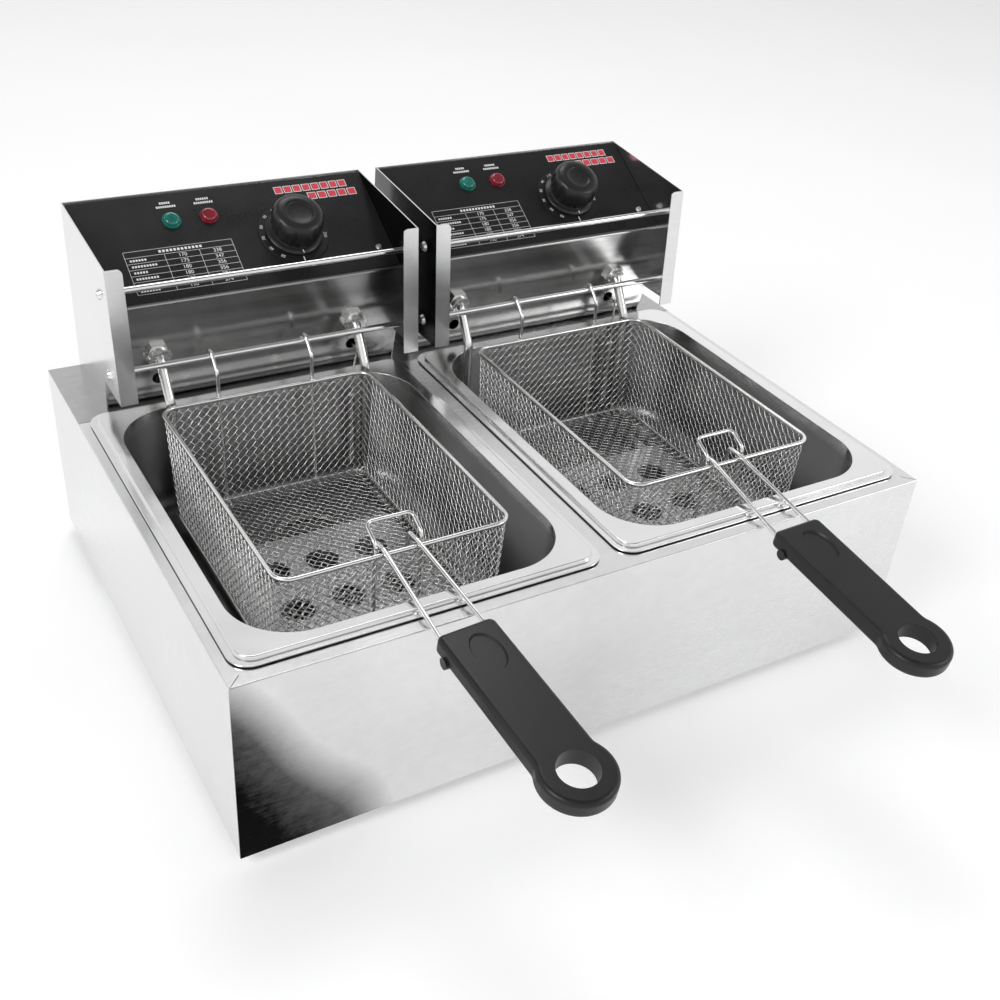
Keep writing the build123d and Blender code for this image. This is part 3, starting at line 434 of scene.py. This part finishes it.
def woven(side, sgn):
    bx, by = sgn * 137.5, 66.0 + BL / 2
    hw, hl = BW / 2, BL / 2
    segs = []   # perimeter pieces: straight and arc
    L1, L2, La = BW - 2 * RC, BL - 2 * RC, math.pi / 2 * RC
    total = 2 * (L1 + L2 + 2 * La)

    def base(s):
        """Point and outward normal on the rim's line at arc length s."""
        s = s % total
        seq = [("s", L1, (-hw + RC, -hl), (1, 0), (0, -1)), ("a", La, (hw - RC, -hl + RC), -90),
               ("s", L2, (hw, -hl + RC), (0, 1), (1, 0)), ("a", La, (hw - RC, hl - RC), 0),
               ("s", L1, (hw - RC, hl), (-1, 0), (0, 1)), ("a", La, (-hw + RC, hl - RC), 90),
               ("s", L2, (-hw, hl - RC), (0, -1), (-1, 0)), ("a", La, (-hw + RC, -hl + RC), 180)]
        for q in seq:
            if s <= q[1]:
                if q[0] == "s":
                    return (q[2][0] + q[3][0] * s, q[2][1] + q[3][1] * s), q[4]
                a = math.radians(q[3] + 90 * s / La)
                return (q[2][0] + RC * math.cos(a), q[2][1] + RC * math.sin(a)), (math.cos(a), math.sin(a))
            s -= q[1]
        return (-hw + RC, -hl), (0, -1)

    Hs = RIM - BOT - RB
    Ha = math.pi / 2 * RB
    cnt = 112
    sp = total / cnt
    step = sp / 8
    amp = WR * 1.02
    paths = []
    nt = int((Hs + Ha) / step)
    ts = [k * step for k in range(nt + 1)]
    for fam in (1, -1):
        for i in range(cnt):
            P, Nn = [], []
            for t in ts:
                (x, y), (nx_, ny_) = base(i * sp + fam * t)
                if t <= Hs:
                    d = INSET * t / Hs; z = RIM - t; nz = 0.0; nh = 1.0
                else:
                    f = (t - Hs) / RB
                    d = INSET + RB * (1 - math.cos(f)); z = BOT + RB - RB * math.sin(f)
                    nh, nz = math.cos(f), -math.sin(f)
                w = fam * amp * math.cos(math.pi * t / (sp / 2))
                fade = min(1.0, max(0.0, (RC - d) / 4.0))
                w *= fade
                P.append(R(bx + x + nx_ * (w * nh - d), by + y + ny_ * (w * nh - d), z + w * nz))
                Nn.append((nx_ * nh, ny_ * nh, nz))
            paths.append((np.array(P), np.array(Nn, float)))
    # bottom
    ex, ey = hw - INSET - RB + 0.6, hl - INSET - RB + 0.6
    for fam in (1, -1):
        k0 = int((ex + ey) / sp) + 1
        for k in range(-k0, k0 + 1):
            c = k * sp
            # line y = fam*(x) + c
            xs0 = max(-ex, (-ey - c) * fam if fam > 0 else (ey - c) * fam)
            xs1 = min(ex, (ey - c) * fam if fam > 0 else (-ey - c) * fam)
            if xs1 - xs0 < 3.0:
                continue
            n = max(3, int((xs1 - xs0) / (sp / 8)) + 1)
            xx = np.linspace(xs0, xs1, n)
            yy = fam * xx + c
            w = fam * amp * np.cos(math.pi * (xx / (sp / 2) + k))
            P = np.stack([(bx + xx), (by + yy + Y0), BOT + w + F], -1) / 1000.0
            paths.append((P, np.tile((0.0, 0.0, 1.0), (n, 1))))
    ob = tubes(f"{side}_woven_basket", paths, WR / 1000, 6, "mesh", f"{side}_basket")
    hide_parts(f"{side}_basket_mesh")


for side, sgn in SIDES:
    woven(side, sgn)


# --------------------------------------------------------------- controls
def strip(name, hx, rects, mat, body, h=0.06):
    """Printed bars: (u0, v0, u1, v1) in mm, or 4 corner points."""
    verts, faces = [], []
    for r in rects:
        q = [(r[0], r[1]), (r[2], r[1]), (r[2], r[3]), (r[0], r[3])] if not isinstance(r[0], tuple) else list(r)
        b = len(verts)
        for u, v in q:
            verts.append(panel_pt(hx, u, v, h))
        faces.append((b, b + 1, b + 2, b + 3))
    return make(name, verts, faces, mat, body, smooth=False)


def label(name, hx, text, u, v, size, rot, mat, body, h):
    cu = bpy.data.curves.new(name, "FONT")
    cu.body = text; cu.size = size / 1000; cu.align_x = "CENTER"; cu.align_y = "CENTER"
    cu.resolution_u = 3
    ob = bpy.data.objects.new(name, cu)
    scn.collection.objects.link(ob)
    o = panel_pt(hx, u, v, h)
    ux = Vector((1, 0, 0)); uy = Vector((0, math.cos(RISE), math.sin(RISE))); uz = Vector((0, -math.sin(RISE), math.cos(RISE)))
    M = Matrix((ux, uy, uz)).transposed().to_4x4()
    M = Matrix.Translation(o) @ M @ Matrix.Rotation(rot, 4, "Z")
    dg = bpy.context.evaluated_depsgraph_get()
    me = bpy.data.meshes.new_from_object(ob.evaluated_get(dg))
    me.transform(M)
    bpy.data.objects.remove(ob)
    o2 = bpy.data.objects.new(name, me)
    scn.collection.objects.link(o2)
    me.materials.clear(); me.materials.append(mats[mat])
    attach(o2, body)
    return o2


def join_labels(objs, name):
    bpy.ops.object.select_all(action="DESELECT")
    for o in objs:
        o.select_set(True)
    bpy.context.view_layer.objects.active = objs[0]
    bpy.ops.object.join()
    objs[0].name = name
    return objs[0]


KU, KV = 44.0, 45.5
for side, sgn in SIDES:
    hx = sgn * 131.0
    body = f"{side}_head"
    kb = f"{side}_control_knob"
    x0 = -123.0
    # knob: skirt, waist, body with eight shallow finger scallops and a sunk cap
    prof = [(0.0, 1.5), (22.2, 1.5), (22.7, 2.0), (22.7, 3.6), (22.0, 4.4), (18.6, 5.0), (18.0, 5.8), (17.9, 9.0), (18.6, 10.4),
            (20.4, 11.6), (20.9, 12.6), (20.9, 19.5), (20.6, 22.4), (19.8, 24.6), (18.4, 26.3), (16.6, 27.3), (14.2, 27.8), (12.6, 28.0),
            (11.6, 28.0), (11.0, 27.9), (10.7, 27.5), (10.6, 26.9), (10.2, 26.6), (9.0, 26.3), (5.0, 26.0), (0.01, 25.9)]

    def flute(a, h):
        if h < 9.0 or h > 27.4:
            return 0.0
        c = max(0.0, math.cos(8 * a + math.pi)) ** 3
        return 1.1 * c * min(1.0, (27.4 - h) / 8.0)

    k = lathe(f"{side}_knob_turned", hx, KU, KV, prof, 192, "knob", kb, flute)
    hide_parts(f"{side}_knob")
    mark = strip(f"{side}_knob_mark", hx, [(KU - 0.45, KV - 22.6, KU + 0.45, KV - 19.8)], "print_white", kb, 5.05)
    # dial figures and ticks
    labs = []
    vals = [50, 60, 70, 80, 90, 110, 130, 150, 170, 190, 200]
    for i, val in enumerate(vals):
        a = math.radians(232 - i * 24.5)
        labs.append(label(f"{side}_fig{i}", hx, str(val), KU + 25.7 * math.cos(a), KV + 25.7 * math.sin(a), 3.6, a - math.pi / 2, "print_white", body, 1.16))
    d = join_labels(labs, f"{side}_dial_figures"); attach(d, body)
    t = strip(f"{side}_dial_tick", hx, [(KU - 0.4, KV - 28.2, KU + 0.4, KV - 23.4)], "print_white", body, 1.16)
    # temperature table
    u0, u1 = 31.0 + x0, 116.0 + x0
    vt = (371.0 - PANEL[0]) / math.cos(RISE)
    rows = 7
    rh = 5.6
    vb = vt - rows * rh
    bars = []
    w = 0.28
    cols = [u0, u0 + 30.0, u0 + 57.5, u1]
    for i in range(rows + 1):
        a = u0 if i not in (0,) else u0
        bars.append((u0, vt - i * rh - w / 2, u1, vt - i * rh + w / 2))
    for c in cols:
        top = vt if c in (u0, u1) else vt - rh
        bars.append((c - w / 2, vb, c + w / 2, top))
    tb = strip(f"{side}_table_lines", hx, bars, "print_white", body)
    labs = []
    fr = [("170", "338"), ("175", "347"), ("180", "356"), ("180", "356"), ("190", "374"), ("190", "374")]
    for i, (c, f) in enumerate(fr):
        vv = vt - (i + 1.5) * rh
        labs.append(label(f"{side}_c{i}", hx, c, (cols[1] + cols[2]) / 2, vv, 4.6, 0, "print_white", body, 0.07))
        labs.append(label(f"{side}_f{i}", hx, f, (cols[2] + cols[3]) / 2, vv, 4.6, 0, "print_white", body, 0.07))
    d = join_labels(labs, f"{side}_table_figures"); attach(d, body)
    # plain dashes where the words stand
    dash = []
    lens_ = [13, 19, 11, 16, 9, 14]
    for i, ln in enumerate(lens_):
        vv = vt - (i + 1.5) * rh
        u = u0 + 3.0
        while u < u0 + 3.0 + ln:
            dash.append((u, vv - 0.9, u + 1.5, vv + 0.9)); u += 2.2
    u = (u0 + u1) / 2 - 16
    while u < (u0 + u1) / 2 + 16:
        dash.append((u, vt - rh / 2 - 1.1, u + 1.9, vt - rh / 2 + 1.1)); u += 2.9
    for lu, n1_, n2_ in ((-47.0, 5, 9), (-17.0, 6, 9)):
        for row, cnt_ in ((0, n1_), (1, n2_)):
            wd = cnt_ * 1.75
            for q in range(cnt_):
                a = lu - wd / 2 + q * 1.75
                dash.append((a, 88.6 - row * 3.6, a + 1.15, 90.6 - row * 3.6))
    d = strip(f"{side}_label_dashes", hx, dash, "print_white", body)
    # red title replaced by two plain rows of outlined blocks
    red, white = [], []
    sl = 0.0
    for (ua, ub, va, vb2, nb) in ((170 + x0 - 4, 170 + x0 + 60, 85.5, 92.5, 8), (170 + x0 + 22, 170 + x0 + 66, 76.5, 83.5, 5)):
        step_ = (ub - ua) / nb
        for q in range(nb):
            a = ua + q * step_
            white.append((a, va, a + step_ * 0.86, vb2))
            red.append((a + 0.55, va + 0.55, a + step_ * 0.86 - 0.55, vb2 - 0.55))
    d = strip(f"{side}_title_outline", hx, white, "print_white", body, 0.05)
    d = strip(f"{side}_title_blocks", hx, red, "print_red", body, 0.10)

# deck seams: mitred front corners and the cross joints beside the pans
def flat_strip(name, quads, mat, body):
    verts, faces = [], []
    for q in quads:
        b = len(verts)
        verts += [R(*p) for p in q]
        faces.append((b, b + 1, b + 2, b + 3))
    ob = make(name, verts, faces, mat, body, smooth=False)
    return ob


zt = 146.5 + 0.04
quads = []
for sx in (-1, 1):
    quads.append([(sx * 279.0, 1.0, zt), (sx * 278.7, 0.7, zt), (sx * 270.2, 9.2, zt), (sx * 270.5, 9.5, zt)])
    quads.append([(sx * 279.3, 330.0, zt), (sx * 279.3, 330.35, zt), (sx * 255.0, 330.35, zt), (sx * 255.0, 330.0, zt)])
sm = flat_strip("deck_seams", quads, "recess", "cabinet")

# ------------------------------------------------------- floor, light, camera
bpy.ops.mesh.primitive_plane_add(size=14, location=(0, 0, -0.0005))
floor = bpy.context.object; floor.name = "floor"
fm = Mat("floor_pale").set(Roughness=0.9, Emission_Strength=0.16)
fm.b.inputs["Emission Color"].default_value = (1, 1, 1, 1)
fn = fm.noise(2.0, 2.0)
fm.color(fm.ramp(fn, [(0.3, 0.93), (0.7, 0.95)]))
floor.data.materials.append(fm.m)

world = bpy.data.worlds.new("studio"); scn.world = world
world.use_nodes = True
wt = world.node_tree; wt.nodes.clear()
wo = wt.nodes.new("ShaderNodeOutputWorld"); bg = wt.nodes.new("ShaderNodeBackground")
tc = wt.nodes.new("ShaderNodeTexCoord"); sep = wt.nodes.new("ShaderNodeSeparateXYZ")
wt.links.new(tc.outputs["Generated"], sep.inputs[0])
rp = wt.nodes.new("ShaderNodeValToRGB")
mr = wt.nodes.new("ShaderNodeMapRange")
wt.links.new(sep.outputs[2], mr.inputs[0])
mr.inputs[1].default_value = -0.1; mr.inputs[2].default_value = 1.0
wt.links.new(mr.outputs[0], rp.inputs[0])
e = rp.color_ramp.elements
e[0].position = 0.0; e[0].color = (0.55, 0.55, 0.56, 1)
e[1].position = 1.0; e[1].color = (0.22, 0.22, 0.225, 1)
for p, c in ((0.25, 0.75), (0.42, 1.05), (0.64, 0.85), (0.80, 0.30)):
    x = e.new(p); x.color = (c, c, c * 1.005, 1)
wt.links.new(rp.outputs[0], bg.inputs[0]); bg.inputs[1].default_value = 1.0
bgc = wt.nodes.new("ShaderNodeBackground"); bgc.inputs[0].default_value = (1, 1, 1, 1); bgc.inputs[1].default_value = 1.0
lp = wt.nodes.new("ShaderNodeLightPath"); mx = wt.nodes.new("ShaderNodeMixShader")
wt.links.new(lp.outputs["Is Camera Ray"], mx.inputs[0])
wt.links.new(bg.outputs[0], mx.inputs[1]); wt.links.new(bgc.outputs[0], mx.inputs[2])
wt.links.new(mx.outputs[0], wo.inputs[0])


def area(name, loc, target, size, power, size_y=None):
    l = bpy.data.lights.new(name, "AREA")
    l.shape = "RECTANGLE"; l.size = size; l.size_y = size_y or size; l.energy = power
    o = bpy.data.objects.new(name, l)
    scn.collection.objects.link(o)
    o.location = loc
    o.rotation_euler = (Vector(target) - Vector(loc)).to_track_quat("-Z", "Y").to_euler()
    return o


area("key", (-2.0, -0.6, 1.9), (0, 0, 0.1), 1.0, 24)
area("back", (0.5, 1.3, 2.6), (0, 0, 0.1), 1.3, 14, 0.8)
area("fill", (1.9, -1.5, 1.5), (0, 0, 0.1), 0.9, 9)

cam = bpy.data.cameras.new("camera")
co = bpy.data.objects.new("camera", cam)
scn.collection.objects.link(co)
r = np.array([[0.86079442, -0.50333799, 0.07539118], [-0.2328131, -0.52113751, -0.8211052], [0.45258261, 0.68925073, -0.56577594]])
M = Matrix.Identity(4)
for i in range(3):
    M[i][0], M[i][1], M[i][2] = r[0][i], -r[1][i], -r[2][i]
M.translation = Vector((-0.4413865, -0.523774 + Y0 / 1000, 0.6410488 + F / 1000))
co.matrix_world = M
cam.sensor_width = 36.0
cam.lens = 36.0 * 1.23583
cam.shift_x = (500 - 508.85) / 1000
cam.shift_y = (524.39 - 500) / 1000
cam.clip_start = 0.01; cam.clip_end = 50
scn.camera = co
scn.view_settings.view_transform = "Standard"
scn.view_settings.look = "None"
scn.view_settings.exposure = 0.0
